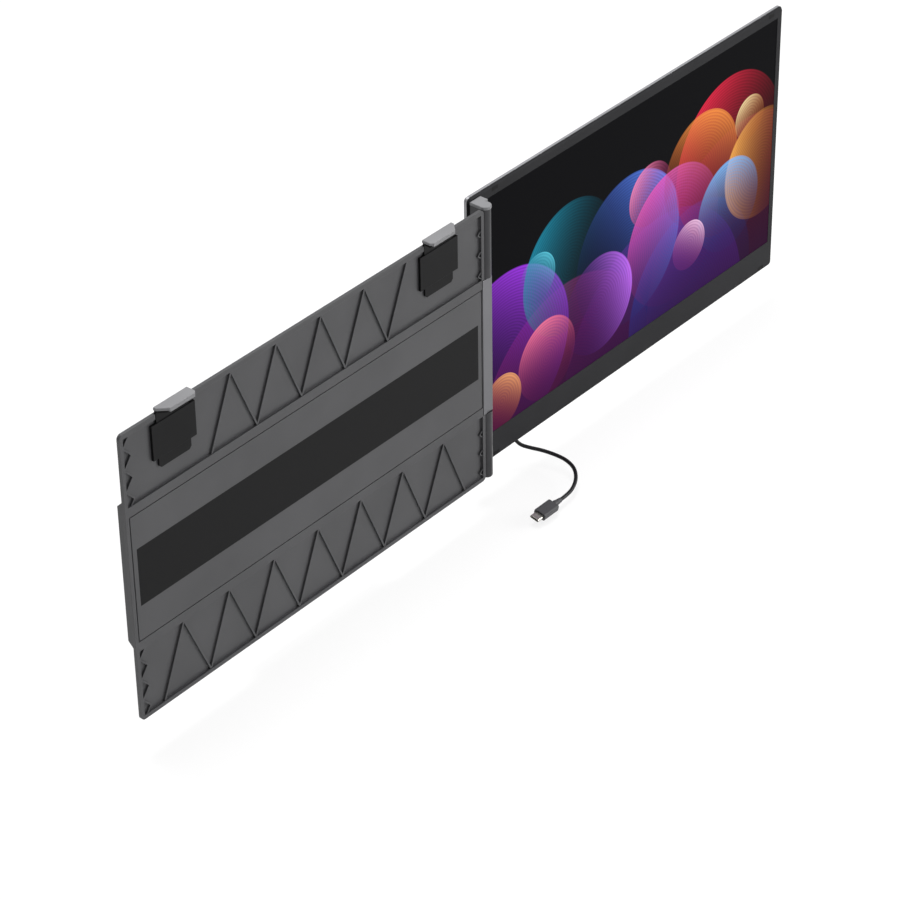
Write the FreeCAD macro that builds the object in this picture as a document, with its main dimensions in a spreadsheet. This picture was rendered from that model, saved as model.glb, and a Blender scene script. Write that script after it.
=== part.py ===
import FreeCAD, Part
import Sketcher
import math
import os
import re

# Laptop screen extender, millimetres, +Z up.
# X runs to the user's right, +Y to the rear, away from the user.
# The origin is the centre of the bracket's front seat face, where the back of a laptop lid rests.

doc = FreeCAD.newDocument("screen_extender")
sheet = doc.addObject("Spreadsheet::Sheet", "Sizes")

# Driving dimensions: alias, value, what it sizes.
SIZES = [
    # Bracket plate
    ("plate_wide", 382.0, "bracket plate, left to right"),
    ("plate_tall", 240.5, "bracket plate, bottom to top"),
    ("plate_thick", 3.2, "bracket plate, front to back"),
    ("plate_corner", 4.0, "corner radius of the plate"),
    ("plate_bevel", 0.6, "bevel round the back edge of the plate"),
    ("rim_wide", 3.2, "side and bottom rims"),
    ("rim_top", 4.0, "top rim"),
    ("floor_thick", 1.2, "floor left behind the ribbed fields"),
    ("flush_tall", 120.9, "flush middle zone between the two ribbed fields"),
    ("band_tall", 103.6, "distance between the two grooves of the middle zone"),
    ("groove_wide", 0.9, "grooves that edge the band"),
    ("groove_deep", 0.8, "grooves that edge the band"),
    ("rib_thick", 1.0, "zigzag ribs"),
    ("rib_reach", 7.4, "width of the zigzag beside the left rim"),
    ("rib_pitch", 17.7, "height of one whole zigzag"),
    ("rib_start", 8.0, "first foot of a zigzag from the end of its field"),
    ("rib_fall", 8.0, "height from a foot at the rim to the next point"),
    ("gusset_reach", 3.2, "width of the small gussets beside the right rim"),
    ("gusset_half", 2.8, "half the height of a gusset"),
    ("rib_drop", 0.5, "ribs lie this far below the rim"),
    ("truss_pitch", 46.0, "width of one whole zigzag of the wide truss"),
    ("truss_thick", 1.4, "ribs of the wide truss"),
    ("truss_gap", 14.0, "from the side ribs or a clip guide to the wide truss"),
    # Silicone pad on the band
    ("pad_side", 8.0, "anti-slip pad from the plate's side edges"),
    ("pad_tall", 48.0, "anti-slip pad"),
    ("pad_deep", 0.8, "anti-slip pad and its pocket"),
    # Rear housing
    ("housing_side", 4.2, "rear housing from the plate's side edges"),
    ("housing_tall", 126.0, "rear housing"),
    ("housing_deep", 8.4, "rear housing"),
    ("housing_wall", 1.6, "rear housing"),
    ("housing_bevel", 6.0, "sloped top and bottom edges of the rear housing"),
    ("boss_size", 3.0, "radius of the screw bosses"),
    ("boss_near_arm", 21.0, "inner screw column from the end of the hinge arm"),
    ("boss_far_edge", 16.8, "outer screw column from the side of the housing"),
    ("boss_edge", 13.0, "screw rows from the top and bottom of the housing"),
    ("screw_size", 1.25, "radius of the housing screws"),
    ("screw_head", 2.3, "radius of the housing screw heads"),
    ("screw_head_tall", 1.5, "housing screw heads"),
    ("screw_bite", 1.8, "how deep the screws go into the plate"),
    ("screw_sunk", 0.2, "housing screw heads below the housing's back"),
    ("screw_slot", 0.5, "cross slot of a housing screw"),
    # Hinge arm
    ("arm_thick", 2.0, "flat of the hinge arm on the back of the plate"),
    ("arm_under_screws", 5.0, "flat of the hinge arm, from the screw rows of the housing"),
    ("arm_reach", 70.0, "flat of the hinge arm, inwards from the plate's edge"),
    ("knuckle_tall", 119.0, "fixed middle knuckle"),
    ("knuckle_lap", 2.3, "how far the knuckle laps over the plate's right rim"),
    ("knuckle_front", 0.3, "knuckle's face before the seat face"),
    ("knuckle_round", 1.6, "front right corner of the knuckle"),
    ("knuckle_flat", 0.2, "flat left beside the rounded back of the knuckle"),
    ("arm_screw", 1.5, "radius of the arm screws"),
    ("arm_screw_head", 2.8, "radius of the arm screw heads"),
    ("arm_screw_head_tall", 1.5, "arm screw heads"),
    ("arm_screw_edge", 13.0, "arm screws from the top and bottom of the flat"),
    ("arm_screw_in", 12.0, "first column of arm screws from the inner end of the flat"),
    ("arm_screw_slot", 0.6, "cross slot of an arm screw"),
    ("arm_screw_step", 36.0, "between the two columns of arm screws"),
    # Fold hinge
    ("edge_gap", 0.4, "between the plate's right edge and the barrels"),
    ("barrel_size", 4.5, "radius of the hinge barrels"),
    ("axis_back", 2.9, "hinge axis behind the seat face"),
    ("face_back", 13.7, "front face of the screen behind the seat face"),
    ("column_under", 0.05, "bottom of the lower barrel above the plate's bottom edge"),
    ("column_over", 0.95, "top of the hinge cap above the plate's top edge"),
    ("cap_tall", 2.4, "hinge cap"),
    ("cap_lip", 0.35, "how far the cap stands proud of the barrel"),
    ("joint_gap", 0.4, "between the knuckle and each barrel"),
    ("leaf_wide", 11.9, "leaf that joins a barrel to the screen"),
    ("leaf_deep", 7.1, "leaf that joins a barrel to the screen"),
    ("leaf_step", 0.1, "left side of a leaf beside its barrel's"),
    ("leaf_round", 1.2, "free front edge of a leaf"),
    ("barrel_round", 1.8, "bottom edge of the lower barrel"),
    ("pin_size", 2.0, "radius of the hinge pins"),
    ("pin_in_knuckle", 26.0, "hinge pin inside the knuckle"),
    ("pin_in_barrel", 24.0, "hinge pin inside a barrel"),
    ("pin_bevel", 0.4, "ends of the hinge pins"),
    ("bush_wall", 0.6, "friction sleeves round the pins"),
    ("bush_slit", 0.8, "slit of a friction sleeve"),
    ("run_gap", 0.05, "radial clearance of a turning fit"),
    ("leaf_screw", 1.1, "radius of the leaf screws"),
    ("leaf_screw_head", 2.0, "radius of the leaf screw heads"),
    ("leaf_screw_head_tall", 0.9, "leaf screw heads"),
    ("leaf_screw_bite", 4.5, "leaf screws inside the leaf"),
    ("leaf_screw_slot", 0.4, "cross slot of a leaf screw"),
    ("leaf_screw_near", 14.5, "nearer leaf screw from the end of the knuckle"),
    ("leaf_screw_end", 14.25, "farther leaf screw from the plate's top or bottom edge"),
    ("backing_wide", 14.0, "strip that backs the leaves inside the screen"),
    ("backing_end", 6.0, "backing strip beyond its last screw"),
    ("backing_gap", 0.4, "backing strip inside the cover's wall"),
    # Second screen
    ("screen_wide", 401.4, "screen, left to right"),
    ("screen_over", 3.45, "top of the screen above the plate's top edge"),
    ("screen_deep", 5.5, "screen, front to back without the port block"),
    ("screen_under", 0.15, "bottom of the screen above the plate's bottom edge"),
    ("screen_left_back", 1.2, "screen's left edge beside the plate's right edge"),
    ("screen_corner", 4.0, "corner radius of the screen"),
    ("screen_bevel", 1.4, "bevel of the screen's front and back edges"),
    ("view_left", 22.4, "bezel left of the picture"),
    ("view_right", 7.0, "bezel right of the picture"),
    ("view_under", 25.0, "bezel under the picture"),
    ("view_over", 8.7, "bezel over the picture"),
    ("bezel_thick", 1.8, "front frame"),
    ("glass_set", 0.25, "picture glass behind the frame's face"),
    ("cell_margin", 2.0, "liquid crystal cell hidden behind the frame"),
    ("cell_thick", 1.1, "liquid crystal cell"),
    ("light_thick", 1.0, "backlight"),
    ("cover_wall", 1.6, "rear cover side walls"),
    ("cover_back", 1.3, "rear cover back wall"),
    ("bumper_wide", 7.0, "bezel bumpers"),
    ("bumper_tall", 3.2, "bezel bumpers"),
    ("bumper_deep", 1.0, "bezel bumpers"),
    ("bumper_proud", 0.15, "bumpers stand proud of the bezel"),
    ("bumper_left", 31.0, "left bumpers from the screen's left edge"),
    ("bumper_right", 15.7, "right bumpers from the screen's right edge"),
    ("bumper_edge", 3.4, "bumpers from the top and bottom edges"),
    # Port block on the back of the screen
    ("block_left", 30.0, "port block from the screen's left edge"),
    ("block_wide", 128.0, "port block"),
    ("block_tall", 62.0, "port block"),
    ("block_deep", 9.8, "port block"),
    ("block_low", 46.0, "port block's underside above the screen's bottom edge"),
    ("block_bevel", 3.0, "sloped edges of the port block"),
    ("board_thick", 1.2, "main board"),
    ("board_margin", 3.0, "main board inside the port block"),
    ("port_back", 6.2, "axis of the ports behind the screen's back"),
    ("port_first", 32.8, "first port from the left side of the block"),
    ("port_step", 24.0, "between ports"),
    ("port_wide", 9.0, "port shell"),
    ("port_thick", 3.3, "port shell"),
    ("port_long", 7.4, "port shell"),
    ("port_wall", 0.25, "port shell"),
    ("tongue_wide", 6.6, "tongue inside a port"),
    ("tongue_thick", 0.7, "tongue inside a port"),
    ("tongue_long", 5.0, "tongue inside a port"),
    ("port_set", 0.2, "mouth of a port above the underside of the block"),
    ("tongue_set", 0.3, "tongue's root in front of the end of the shell"),
    # Keys on the back of the screen
    ("key_size", 3.0, "radius of the keys"),
    ("key_step", 14.0, "between keys"),
    ("key_right", 71.0, "first key from the screen's right edge"),
    ("key_up", 11.6, "keys above the screen's bottom edge"),
    ("key_proud", 0.6, "keys stand proud of the back"),
    ("key_travel", 0.4, "key travel"),
    ("key_flange", 0.7, "how much wider the key's flange is"),
    ("key_flange_thick", 0.5, "flange of a key"),
    ("key_rest", 0.05, "gap behind a key's flange, and before its switch"),
    ("key_gap", 0.15, "clearance round a key"),
    ("key_board_thick", 1.0, "key board"),
    ("key_board_end", 8.0, "key board beyond the middle of its last key"),
    ("key_board_half", 5.0, "half the height of the key board"),
    ("switch_size", 1.6, "radius of the switches"),
    # Lid clips
    ("clip_side", 51.5, "middle of a clip from the plate's side edge"),
    ("clip_wide", 33.2, "clip head"),
    ("clip_front", 7.5, "front of the clip lip before the seat face"),
    ("clip_back", 1.9, "back of the clip behind the seat face"),
    ("clip_up", 4.6, "top of the clip head above the plate at rest"),
    ("clip_head", 2.1, "clip head thickness"),
    ("clip_lip", 1.8, "clip lip thickness"),
    ("clip_hang", 1.2, "clip lip below the head"),
    ("clip_bevel", 0.5, "top edges of a clip head"),
    ("clip_outer_cut", 7.0, "cut of the outer front corner"),
    ("clip_inner_cut", 2.2, "cut of the inner front corner"),
    ("stem_wide", 31.6, "clip stem"),
    ("stem_thick", 1.4, "clip stem"),
    ("stem_long", 47.0, "clip stem below the head"),
    ("stem_gap", 0.3, "stem beside its notch and guide"),
    ("slide_lead", 2.0, "cut lower corners of a stem"),
    ("guide_wall", 5.0, "sides of a clip guide"),
    ("guide_strap", 0.4, "strap of a clip guide"),
    ("guide_low", 36.0, "bottom of a clip guide below the plate's top"),
    ("guide_high", 8.0, "top of a clip guide below the plate's top"),
    ("strip_wide", 14.0, "friction strip behind a stem"),
    ("strip_thick", 0.6, "friction strip behind a stem"),
    ("strip_gap", 0.08, "between a friction strip and the stem"),
    ("liner_thick", 1.8, "soft liner under a clip head"),
    ("liner_inset", 0.6, "liner inside the outline of the head"),
    # Rear stand
    ("stand_beside", 25.0, "sides of the stand from the inner screw columns"),
    ("stand_thick", 2.0, "stand"),
    ("stand_long", 160.0, "stand, from its axis to the end of the plate"),
    ("stand_axis_up", 50.0, "stand axis above the middle"),
    ("stand_axis_in", 1.0, "stand axis in front of the housing's back face"),
    ("stand_barrel", 1.7, "radius of the stand's barrel"),
    ("stand_gap", 0.4, "round the stand in its pocket"),
    ("stand_pocket", 2.6, "depth of the stand's pocket"),
    ("stand_pin", 0.9, "radius of the stand's pin"),
    ("stand_lug", 7.0, "lugs that hold the stand's pin"),
    ("stand_lug_half", 4.0, "half the height of a lug"),
    ("foot_tall", 6.0, "rubber foot of the stand"),
    ("foot_wall", 0.9, "rubber round the end of the stand"),
    # Lead
    ("lead_size", 1.55, "radius of the lead"),
    ("plug_wide", 10.8, "plug body"),
    ("plug_thick", 6.0, "plug body"),
    ("plug_long", 17.6, "plug body"),
    ("plug_round", 1.6, "edges of a plug body"),
    ("relief_size", 2.8, "radius of a strain relief where it leaves the plug"),
    ("relief_long", 8.4, "strain relief"),
    ("relief_collar", 0.3, "share of a strain relief that is its collar"),
    ("relief_step", 0.35, "step from the collar to the sleeve, and from the sleeve to the lead"),
    ("nose_wide", 8.3, "plug shell"),
    ("nose_thick", 2.4, "plug shell"),
    ("nose_long", 6.5, "plug shell"),
    ("nose_wall", 0.3, "plug shell"),
    ("far_plug_lean", 11.8, "slope of the far plug, in degrees"),
]

ALIASES = set()
for row, (alias, value, note) in enumerate(SIZES, start=1):
    sheet.set(f"A{row}", note)
    sheet.set(f"B{row}", str(value))
    sheet.setAlias(f"B{row}", alias)
    ALIASES.add(alias)
doc.recompute()
V = FreeCAD.Vector
FRONT_BACK = FreeCAD.Rotation(V(1, 0, 0), -90)
SIDEWAYS = FreeCAD.Rotation(V(0, 1, 0), 90)
UPRIGHT = FreeCAD.Rotation()


def named(words):
    """Write an expression's size names the way the sheet's cells are called."""
    return re.sub(r"[a-z_]+", lambda m: "Sizes." + m[0] if m[0] in ALIASES else m[0], words)


def size(words):
    """The value of an expression of sizes, for the shapes that are made without one."""
    cells = {alias: float(sheet.get(alias)) for alias in ALIASES}
    total = re.sub(r"[a-z_]+", lambda m: repr(cells[m[0]]), words)
    return float(FreeCAD.Units.Quantity(total).Value)


def bind(thing, **properties):
    """Tie properties to expressions of sizes; x, y and z are the place."""
    for name, words in properties.items():
        path = "Placement.Base." + name if name in "xyz" else name
        thing.setExpression(path, named(words))
    return thing


def box(name, x, y, z, wide, deep, tall):
    """A block from its lowest corner and its three sizes."""
    thing = doc.addObject("Part::Box", name)
    return bind(thing, x=x, y=y, z=z, Length=wide, Width=deep, Height=tall)


def rod(name, x, y, z, radius, length, turn=UPRIGHT):
    """A cylinder from the middle of its first end."""
    thing = doc.addObject("Part::Cylinder", name)
    thing.Placement = FreeCAD.Placement(V(), turn)
    return bind(thing, x=x, y=y, z=z, Radius=radius, Height=length)


def fuse(name, pieces):
    thing = doc.addObject("Part::MultiFuse", name)
    thing.Shapes = pieces
    thing.Refine = True
    return thing


def cut(name, base, tools):
    thing = doc.addObject("Part::Cut", name)
    thing.Base = base
    thing.Tool = tools[0] if len(tools) == 1 else fuse(name + "_tools", tools)
    thing.Refine = True
    return thing


def group(name, pieces):
    """Separate like solids that share one node."""
    thing = doc.addObject("Part::Compound", name)
    thing.Links = pieces
    return thing


def along(edge, axis):
    ends = edge.Vertexes
    if len(ends) != 2:
        return False
    line = ends[1].Point - ends[0].Point
    return line.Length > 1e-6 and abs(abs(line.normalize().dot(axis)) - 1) < 1e-4


def dress(kind, name, base, radius, chosen):
    """Fillet or chamfer the edges that a test picks."""
    doc.recompute()
    amount = size(radius)
    picked = [i for i, edge in enumerate(base.Shape.Edges, start=1) if chosen(edge)]
    if not picked:
        raise RuntimeError(name + " finds no edges")
    thing = doc.addObject("Part::" + kind, name)
    thing.Base = base
    thing.Edges = [(i, amount, amount) for i in picked]
    return thing


def rounded(name, base, radius, chosen):
    return dress("Fillet", name, base, radius, chosen)


def bevelled(name, base, radius, chosen):
    return dress("Chamfer", name, base, radius, chosen)


def edge_at(**place):
    """A test for edges whose middle lies on the planes given as x, y or z."""
    wanted = {name: size(words) for name, words in place.items()}

    def test(edge):
        box_round = edge.BoundBox
        low = {"x": box_round.XMin, "y": box_round.YMin, "z": box_round.ZMin}
        high = {"x": box_round.XMax, "y": box_round.YMax, "z": box_round.ZMax}
        return all(abs(low[n] - at) < 0.01 and abs(high[n] - at) < 0.01 for n, at in wanted.items())

    return test


def polygon_body(name, plane, corners, length, offset):
    """A body padded from a sketched outline whose corners are tied to the sizes."""
    body = doc.addObject("PartDesign::Body", name)
    origin_plane = [f for f in body.Origin.OriginFeatures if f.Role == plane][0]
    sketch = body.newObject("Sketcher::SketchObject", name + "_outline")
    sketch.AttachmentSupport = [(origin_plane, "")]
    sketch.MapMode = "FlatFace"
    spots = [V(size(a), size(b), 0) for a, b in corners]
    count = len(spots)
    for i in range(count):
        sketch.addGeometry(Part.LineSegment(spots[i], spots[(i + 1) % count]), False)
    for i in range(count):
        sketch.addConstraint(Sketcher.Constraint("Coincident", i, 2, (i + 1) % count, 1))
    for i, (a, b) in enumerate(corners):
        for kind, words, value in (("DistanceX", a, spots[i].x), ("DistanceY", b, spots[i].y)):
            number = sketch.addConstraint(Sketcher.Constraint(kind, -1, 1, i, 1, value))
            sketch.setExpression(f"Constraints[{number}]", named(words))
    pad = body.newObject("PartDesign::Pad", name + "_pad")
    pad.Profile = sketch
    pad.setExpression("Length", named(length))
    bind(body, **{{"XY_Plane": "z", "XZ_Plane": "y", "YZ_Plane": "x"}[plane]: offset})
    return body


NODES = []


def node(thing, label):
    """Give a finished piece the name that its file has."""
    thing.Label = label
    NODES.append(thing)
    return thing


# Places that several pieces share, each an expression of the sizes.
PAD_WIDE = "(plate_wide - 2 * pad_side)"
HOUSING_WIDE = "(plate_wide - 2 * housing_side)"
CLIP_OUT = "(plate_wide / 2 - clip_side)"
BOSS_NEAR = "(plate_wide / 2 - arm_reach - boss_near_arm)"
BOSS_FAR = f"({HOUSING_WIDE} / 2 - boss_far_edge)"
BOSS_UP = "(housing_tall / 2 - boss_edge)"
ARM_HALF = f"({BOSS_UP} - arm_under_screws)"
ARM_SCREW_UP = f"({ARM_HALF} - arm_screw_edge)"
STAND_HALF = f"({BOSS_NEAR} - stand_beside)"
COLUMN_LOW = "(plate_tall / 2 - column_under)"
COLUMN_HIGH = "(plate_tall / 2 + column_over)"
SCREEN_LOW = "(plate_tall / 2 - screen_under)"
AXIS_X = "(plate_wide / 2 + edge_gap + barrel_size)"
SCREEN_LEFT = "(plate_wide / 2 - screen_left_back)"
SCREEN_RIGHT = f"({SCREEN_LEFT} + screen_wide)"
SCREEN_TOP = "(plate_tall / 2 + screen_over)"
SCREEN_TALL = f"({SCREEN_TOP} + {SCREEN_LOW})"
SCREEN_BACK = "(face_back + screen_deep)"
HOUSING_BACK = "(plate_thick + housing_deep)"
VIEW_WIDE = "(screen_wide - view_left - view_right)"
VIEW_TALL = f"({SCREEN_TALL} - view_under - view_over)"
VIEW_LEFT = f"({SCREEN_LEFT} + view_left)"
VIEW_LOW = f"(view_under - {SCREEN_LOW})"


def rib_run(name, points, thick):
    """Straight ribs from point to point across a field, each lying on the field's floor."""
    ribs = []
    for i, (start, end) in enumerate(zip(points, points[1:])):
        line = end - start
        rib = doc.addObject("Part::Box", f"{name}_{i}")
        turn = FreeCAD.Rotation(V(0, 1, 0), -math.degrees(math.atan2(line.z, line.x)))
        corner = start + turn.multVec(V(0, 0, -size(thick) / 2))
        rib.Placement = FreeCAD.Placement(V(corner.x, size("rib_drop"), corner.z), turn)
        rib.Length = line.Length
        rib.setExpression("Width", named("plate_thick - floor_thick / 2 - rib_drop"))
        rib.setExpression("Height", named(thick))
        ribs.append(rib)
    return ribs


def side_zigzag(name, rim_x, point_x, low, high):
    """Ribs beside the left rim: feet at the rim and points towards the middle, from the top down."""
    rim_x, point_x, low, high = size(rim_x), size(point_x), size(low), size(high)
    pitch, fall = size("rib_pitch"), size("rib_fall")
    foot = high - size("rib_start")
    points = [V(point_x, 0, foot + pitch - fall)]
    while foot > low - pitch:
        points += [V(rim_x, 0, foot), V(point_x, 0, foot - fall)]
        foot -= pitch
    return rib_run(name, points, "rib_thick")


def side_gussets(name, rim_x, low, high):
    """Small pointed ribs beside the right rim, at the heights of the left zigzag's points."""
    rim_x, low, high = size(rim_x), size(low), size(high)
    reach, half, pitch = size("gusset_reach"), size("gusset_half"), size("rib_pitch")
    middle = high - size("rib_start + rib_fall")
    ribs = []
    while middle - half > low:
        spots = [V(rim_x, 0, middle + half), V(rim_x - reach, 0, middle), V(rim_x, 0, middle - half)]
        ribs += rib_run(f"{name}_{len(ribs)}", spots, "rib_thick")
        middle -= pitch
    return ribs


def truss(name, left, right, low, high):
    """Wide ribs to and fro between the bottom and the top of a field."""
    left, right, low, high = size(left), size(right), size(low), size(high)
    legs = max(2, int(round(2 * (right - left) / size("truss_pitch"))))
    step = (right - left) / legs
    points = [V(left + i * step, 0, high if i % 2 else low) for i in range(legs + 1)]
    return rib_run(name, points, "truss_thick")


def make_tray():
    """Bracket plate: rim, two ribbed fields, flush band with a pad pocket, clip notches."""
    slab = box("tray_slab", "-plate_wide / 2", "0", "-plate_tall / 2",
               "plate_wide", "plate_thick", "plate_tall")
    slab = rounded("tray_round", slab, "plate_corner", lambda e: along(e, V(0, 1, 0)))
    slab = bevelled("tray_bevel", slab, "plate_bevel", edge_at(y="plate_thick"))
    field_wide = "plate_wide - 2 * rim_wide"
    field_deep = "plate_thick - floor_thick"
    upper_tall = "plate_tall / 2 - rim_top - flush_tall / 2"
    lower_tall = "plate_tall / 2 - rim_wide - flush_tall / 2"
    upper = box("field_upper", "rim_wide - plate_wide / 2", "0", "flush_tall / 2",
                field_wide, field_deep, upper_tall)
    lower = box("field_lower", "rim_wide - plate_wide / 2", "0", "rim_wide - plate_tall / 2",
                field_wide, field_deep, lower_tall)
    cuts = [upper, lower]
    for side, where in (("up", "band_tall / 2"), ("down", "-band_tall / 2 - groove_wide")):
        cuts.append(box("groove_" + side, "rim_wide - plate_wide / 2", "0", where,
                        "plate_wide - 2 * rim_wide", "groove_deep", "groove_wide"))
    for side, where in (("left", "rim_wide - plate_wide / 2"),
                        ("right", "plate_wide / 2 - rim_wide - groove_wide")):
        cuts.append(box("groove_" + side, where, "0", "-band_tall / 2",
                        "groove_wide", "groove_deep", "band_tall"))
    cuts.append(box("pad_pocket", f"-{PAD_WIDE} / 2", "0", "-pad_tall / 2",
                    PAD_WIDE, "pad_deep", "pad_tall"))
    cuts.append(box("knuckle_notch", "plate_wide / 2 - knuckle_lap - joint_gap", "-1",
                    "-knuckle_tall / 2 - joint_gap",
                    "knuckle_lap + joint_gap + 1", "plate_thick + 2", "knuckle_tall + 2 * joint_gap"))
    for side, sign in (("left", "-1 * "), ("right", "")):
        cuts.append(box("stem_notch_" + side, f"{sign}{CLIP_OUT} - clip_wide / 2 - stem_gap", "0",
                        "plate_tall / 2 - rim_top - 1",
                        "clip_wide + 2 * stem_gap", field_deep, "rim_top + 2"))
        cuts.append(box("strip_pocket_" + side, f"{sign}{CLIP_OUT} - strip_wide / 2", "0",
                        "plate_tall / 2 - guide_low",
                        "strip_wide", "clip_back + strip_gap + strip_thick", "guide_low - guide_high"))
    for n, (x, z) in enumerate(BOSSES):
        cuts.append(rod(f"plate_hole_{n}", x, "plate_thick - screw_bite", z,
                        "screw_size", "screw_bite + 1", FRONT_BACK))
    for n, (x, z) in enumerate(ARM_HOLES):
        cuts.append(rod(f"plate_arm_hole_{n}", x, "plate_thick - screw_bite", z,
                        "arm_screw", "screw_bite + 1", FRONT_BACK))
    plate = cut("tray_hollowed", slab, cuts)
    side_x = "(plate_wide / 2 - rim_wide)"
    fields = (("up", "flush_tall / 2", "plate_tall / 2 - rim_top"),
              ("down", "rim_wide - plate_tall / 2", "-flush_tall / 2"))
    inner = f"({CLIP_OUT} - stem_wide / 2 - guide_wall - truss_gap)"
    outer = "(plate_wide / 2 - rim_wide - rib_reach - truss_gap)"
    ribs = []
    for where, low, high in fields:
        ribs += side_zigzag("rib_left_" + where, f"-1 * {side_x}", f"rib_reach - {side_x}", low, high)
        ribs += side_gussets("rib_right_" + where, side_x, low, high)
        half = inner if where == "up" else outer
        ribs += truss("truss_" + where, f"-1 * {half}", half, low, high)
    ribs_block = fuse("ribs_all", ribs)
    fields_block = fuse("fields_all", [
        box("field_upper_keep", "rim_wide - plate_wide / 2", "0", "flush_tall / 2",
            field_wide, "plate_thick - floor_thick / 2", upper_tall),
        box("field_lower_keep", "rim_wide - plate_wide / 2", "0", "rim_wide - plate_tall / 2",
            field_wide, "plate_thick - floor_thick / 2", lower_tall)])
    kept = doc.addObject("Part::MultiCommon", "ribs_kept")
    kept.Shapes = [ribs_block, fields_block]
    return node(fuse("tray", [plate, kept]), "bracket_tray")


BOSSES = [(f"{sx} * {column}", f"{sz} * {BOSS_UP}")
          for sx in ("-1", "1") for column in (BOSS_NEAR, BOSS_FAR) for sz in ("-1", "1")]
ARM_HOLES = [(f"plate_wide / 2 - arm_reach + arm_screw_in + {col} * arm_screw_step",
              f"{sign} * {ARM_SCREW_UP}")
             for col in (0, 1) for sign in ("-1", "1")]


def make_pad():
    return node(box("pad", f"-{PAD_WIDE} / 2", "0", "-pad_tall / 2", PAD_WIDE, "pad_deep", "pad_tall"),
                "seat_pad")


def make_housing():
    """Shallow rear cover, sloped above and below, with screw bosses, a stand pocket and an arm slot."""
    def back_edges(y):
        return lambda e: along(e, V(1, 0, 0)) and edge_at(y=y)(e)

    shell = box("housing_block", f"-1 * {HOUSING_WIDE} / 2", "plate_thick", "-housing_tall / 2",
                HOUSING_WIDE, "housing_deep", "housing_tall")
    shell = bevelled("housing_slopes", shell, "housing_bevel", back_edges(HOUSING_BACK))
    inner = box("housing_room", f"housing_wall - {HOUSING_WIDE} / 2", "plate_thick - 1",
                "housing_wall - housing_tall / 2",
                f"{HOUSING_WIDE} - 2 * housing_wall", "housing_deep - housing_wall + 1",
                "housing_tall - 2 * housing_wall")
    inner = bevelled("housing_room_slopes", inner, "housing_bevel - housing_wall / 2",
                     back_edges(f"{HOUSING_BACK} - housing_wall"))
    shell = cut("housing_shell", shell, [inner])
    adds = [shell]
    for n, (x, z) in enumerate(BOSSES):
        adds.append(rod(f"boss_{n}", x, "plate_thick", z, "boss_size",
                        "housing_deep - 0.01", FRONT_BACK))
    pocket_half = f"({STAND_HALF} + stand_gap)"
    adds.append(box("pocket_back", f"-1 * {pocket_half} - housing_wall",
                    f"{HOUSING_BACK} - stand_pocket - housing_wall", "-housing_tall / 2",
                    f"2 * {pocket_half} + 2 * housing_wall", "stand_pocket + housing_wall - 0.01",
                    "housing_tall / 2 + stand_axis_up + stand_barrel + stand_gap + housing_wall"))
    for side, x in (("left", f"-1 * {pocket_half} - stand_lug"), ("right", pocket_half)):
        adds.append(box("lug_" + side, x, f"{HOUSING_BACK} - stand_pocket - housing_wall",
                        "stand_axis_up - stand_lug_half", "stand_lug",
                        "stand_pocket + housing_wall - 0.01", "2 * stand_lug_half"))
    whole = fuse("housing_solid", adds)
    limit = bevelled("housing_limit", box(
        "housing_limit_block", f"-1 * {HOUSING_WIDE} / 2", "plate_thick", "-housing_tall / 2",
        HOUSING_WIDE, "housing_deep", "housing_tall"), "housing_bevel", back_edges(HOUSING_BACK))
    kept = doc.addObject("Part::MultiCommon", "housing_trimmed")
    kept.Shapes = [whole, limit]
    cuts = [box("stand_pocket_cut", f"-1 * {pocket_half}", f"{HOUSING_BACK} - stand_pocket",
                "-housing_tall / 2 - 1", f"2 * {pocket_half}", "stand_pocket + 1",
                "housing_tall / 2 + 1 + stand_axis_up"),
            rod("stand_round_cut", f"-1 * {pocket_half}", f"{HOUSING_BACK} - stand_axis_in",
                "stand_axis_up", "stand_barrel + stand_gap", f"2 * {pocket_half}", SIDEWAYS),
            rod("stand_pin_cut", f"-1 * {pocket_half} - stand_lug + 1", f"{HOUSING_BACK} - stand_axis_in",
                "stand_axis_up", "stand_pin", f"2 * {pocket_half} + 2 * stand_lug - 2", SIDEWAYS),
            box("arm_slot", f"{HOUSING_WIDE} / 2 - housing_wall - 2", "plate_thick - 1",
                f"-1 * {ARM_HALF} - joint_gap", "housing_wall + 4", "arm_thick + 1 + joint_gap",
                f"2 * {ARM_HALF} + 2 * joint_gap")]
    for n, (x, z) in enumerate(BOSSES):
        cuts.append(rod(f"boss_hole_{n}", x, "plate_thick - 1", z, "screw_size",
                        "housing_deep + 2", FRONT_BACK))
        cuts.append(rod(f"boss_sink_{n}", x, f"{HOUSING_BACK} - screw_head_tall - screw_sunk", z,
                        "screw_head", "screw_head_tall + 2", FRONT_BACK))
    return node(cut("housing", kept, cuts), "rear_housing")


def screws(name, places, start, shank, shank_long, head, head_tall, drive):
    """Pan head screws that point to the front, each with a cross slot, as one group."""
    made = []
    for n, (x, z) in enumerate(places):
        body = fuse(f"{name}_{n}_body", [
            rod(f"{name}_{n}_shank", x, start, z, shank, shank_long, FRONT_BACK),
            rod(f"{name}_{n}_head", x, f"{start} + {shank_long}", z, head, head_tall, FRONT_BACK)])
        slot_y = f"{start} + {shank_long} + {head_tall} - {drive}"
        cross = [box(f"{name}_{n}_slot_a", f"{x} - {head} * 0.6", slot_y, f"{z} - {drive} / 2",
                     f"{head} * 1.2", "2", drive),
                 box(f"{name}_{n}_slot_b", f"{x} - {drive} / 2", slot_y, f"{z} - {head} * 0.6",
                     drive, "2", f"{head} * 1.2")]
        made.append(cut(f"{name}_{n}", body, cross))
    return made


def make_housing_screws():
    made = screws("housing_screw", BOSSES, "(plate_thick - screw_bite)", "screw_size",
                  "(housing_deep + screw_bite - screw_head_tall - screw_sunk)", "screw_head",
                  "screw_head_tall", "screw_slot")
    return node(group("housing_screws", made), "housing_screws")


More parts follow.
